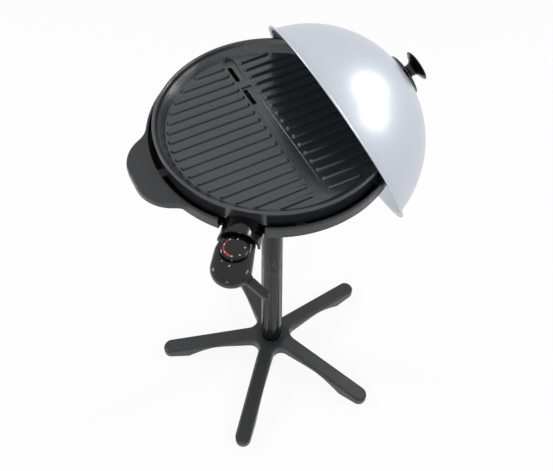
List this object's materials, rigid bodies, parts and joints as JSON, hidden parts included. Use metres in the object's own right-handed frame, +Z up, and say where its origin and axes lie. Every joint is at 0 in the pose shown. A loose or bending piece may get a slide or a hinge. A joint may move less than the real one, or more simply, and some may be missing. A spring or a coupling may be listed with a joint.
{
  "type": "electric stand grill",
  "caption": "Electric grill with a round ribbed plate, plug-in controller, drip tray and lift-off dome lid, on a fluted column with a star base",
  "frame": {"origin": "on the floor, under the column's axis", "axes": "+X along the ribs and both handle wings, towards the parked lid; +Y along the drain channel, away from its shallow end; +Z up"},
  "size_m": [0.616, 0.6152, 1.0582],
  "materials": {
    "coated_plate": "dark non-stick coating on cast aluminium, satin",
    "housing_plastic": "dark grey moulded plastic, fine grain",
    "stand_plastic": "black moulded plastic, fine grain",
    "inner_plastic": "black moulded plastic",
    "soft_rubber": "black rubber",
    "boot_rubber": "black soft plastic",
    "gloss_trim": "black, glossy",
    "gloss_black": "black, glossy",
    "column_paint": "dark grey satin paint",
    "plain_steel": "plain steel",
    "reflector_sheet": "bright sheet",
    "tray_sheet": "plain sheet",
    "element_sheath": "dark oxidised steel sheath",
    "ceramic_block": "off-white ceramic",
    "inner_tan": "tan moulding",
    "brass_contact": "plain brass",
    "lamp_amber": "small pilot lamp",
    "lens_green": "clear tinted lens",
    "lid_silver": "satin silver sheet"
  },
  "bodies": {
    "stand": {"star_base": "stand_plastic", "foot_pads": "soft_rubber", "pole_collar": "gloss_trim", "pole_column": "column_paint", "pole_foot_plug": "inner_plastic", "base_washer": "plain_steel", "base_bolt": "plain_steel", "pole_top_cap": "inner_plastic"},
    "head": {"base_housing": "housing_plastic", "table_feet": "soft_rubber", "heat_reflector": "reflector_sheet", "reflector_screws": "plain_steel", "tray_rails": "inner_plastic"},
    "tray": {"drip_tray": "tray_sheet"},
    "plate": {"grill_plate": "coated_plate", "heating_element": "element_sheath", "element_clamps": "plain_steel", "clamp_screws": "plain_steel", "terminal_pins": "plain_steel", "terminal_block": "ceramic_block", "probe_tube": "plain_steel", "socket_hood": "gloss_black", "hood_screws": "plain_steel"},
    "controller": {"controller_top": "gloss_black", "controller_bottom": "gloss_black", "thermostat_switch": "inner_tan", "probe_rod": "plain_steel", "contact_sockets": "brass_contact", "pilot_lamp": "lamp_amber", "indicator_lens": "lens_green", "cord_boot": "boot_rubber", "case_screws": "plain_steel"},
    "dial": {"temperature_dial": "gloss_black", "dial_spindle": "plain_steel"},
    "lid": {"lid_dome": "lid_silver", "lid_heat_disc": "gloss_black", "lid_knob": "gloss_black", "knob_washer": "plain_steel", "knob_screw": "plain_steel"}
  },
  "joints": [
    {"name": "head_lift", "type": "slide", "parent": "stand", "child": "head", "axis": [0, 0, 1], "range_m": [0, 0.08]},
    {"name": "plate_lift", "type": "slide", "parent": "head", "child": "plate", "axis": [0, 0, 1], "range_m": [0, 0.08]},
    {"name": "lid_lift", "type": "slide", "parent": "plate", "child": "lid", "axis": [0.9178, 0, 0.3971], "range_m": [0, 0.2]},
    {"name": "controller_pull", "type": "slide", "parent": "plate", "child": "controller", "axis": [-0.6534, -0.757, 0], "range_m": [0, 0.1]},
    {"name": "dial_turn", "type": "hinge", "parent": "controller", "child": "dial", "pos_m": [-0.18329, -0.21234, 0.892], "axis": [0, 0, -1], "range_deg": [0, 270]},
    {"name": "tray_slide", "type": "slide", "parent": "head", "child": "tray", "axis": [0, 1, 0], "range_m": [0, 0.12]}
  ]
}
